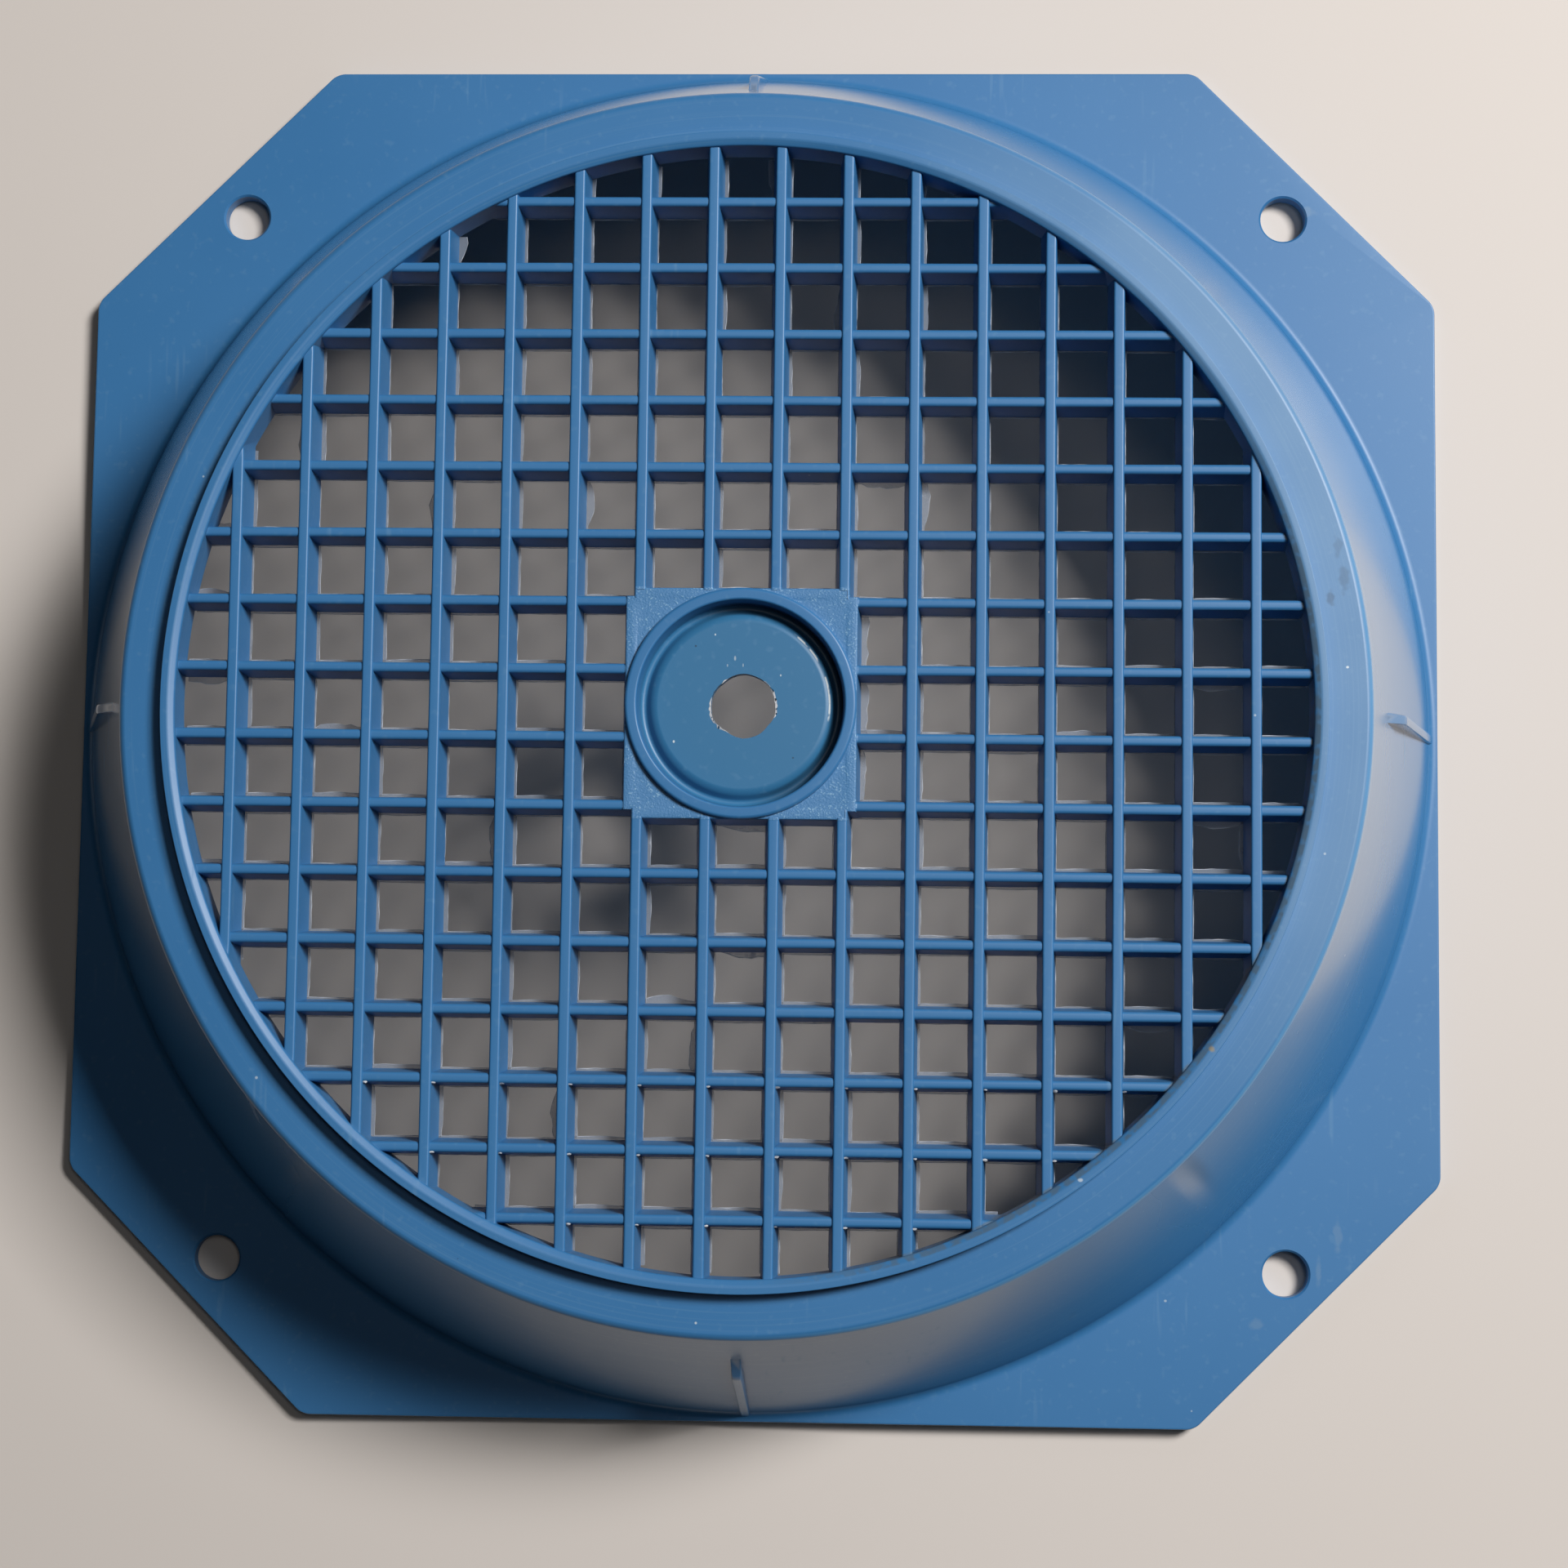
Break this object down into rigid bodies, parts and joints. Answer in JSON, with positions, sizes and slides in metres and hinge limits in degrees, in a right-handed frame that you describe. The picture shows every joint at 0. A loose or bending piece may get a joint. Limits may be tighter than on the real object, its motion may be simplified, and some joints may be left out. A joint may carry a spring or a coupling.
{
  "type": "motor fan cover",
  "caption": "Moulded plastic fan cover: hollow tapered dome on a cut-corner square flange, with a square grille inside a round collar and a recessed centre cup.",
  "frame": {"origin": "on the dome's axis, at the flange's underside", "axes": "+Z along the dome's axis towards the grille, +X and +Y square to the flange's sides, +Y along the long bars of the grille"},
  "size_m": [0.2174, 0.2174, 0.0463],
  "materials": {
    "blue_plastic": "semi-gloss moulded blue plastic with light wear and dirt"
  },
  "bodies": {
    "root": {"fan_cover": "blue_plastic"}
  },
  "joints": []
}
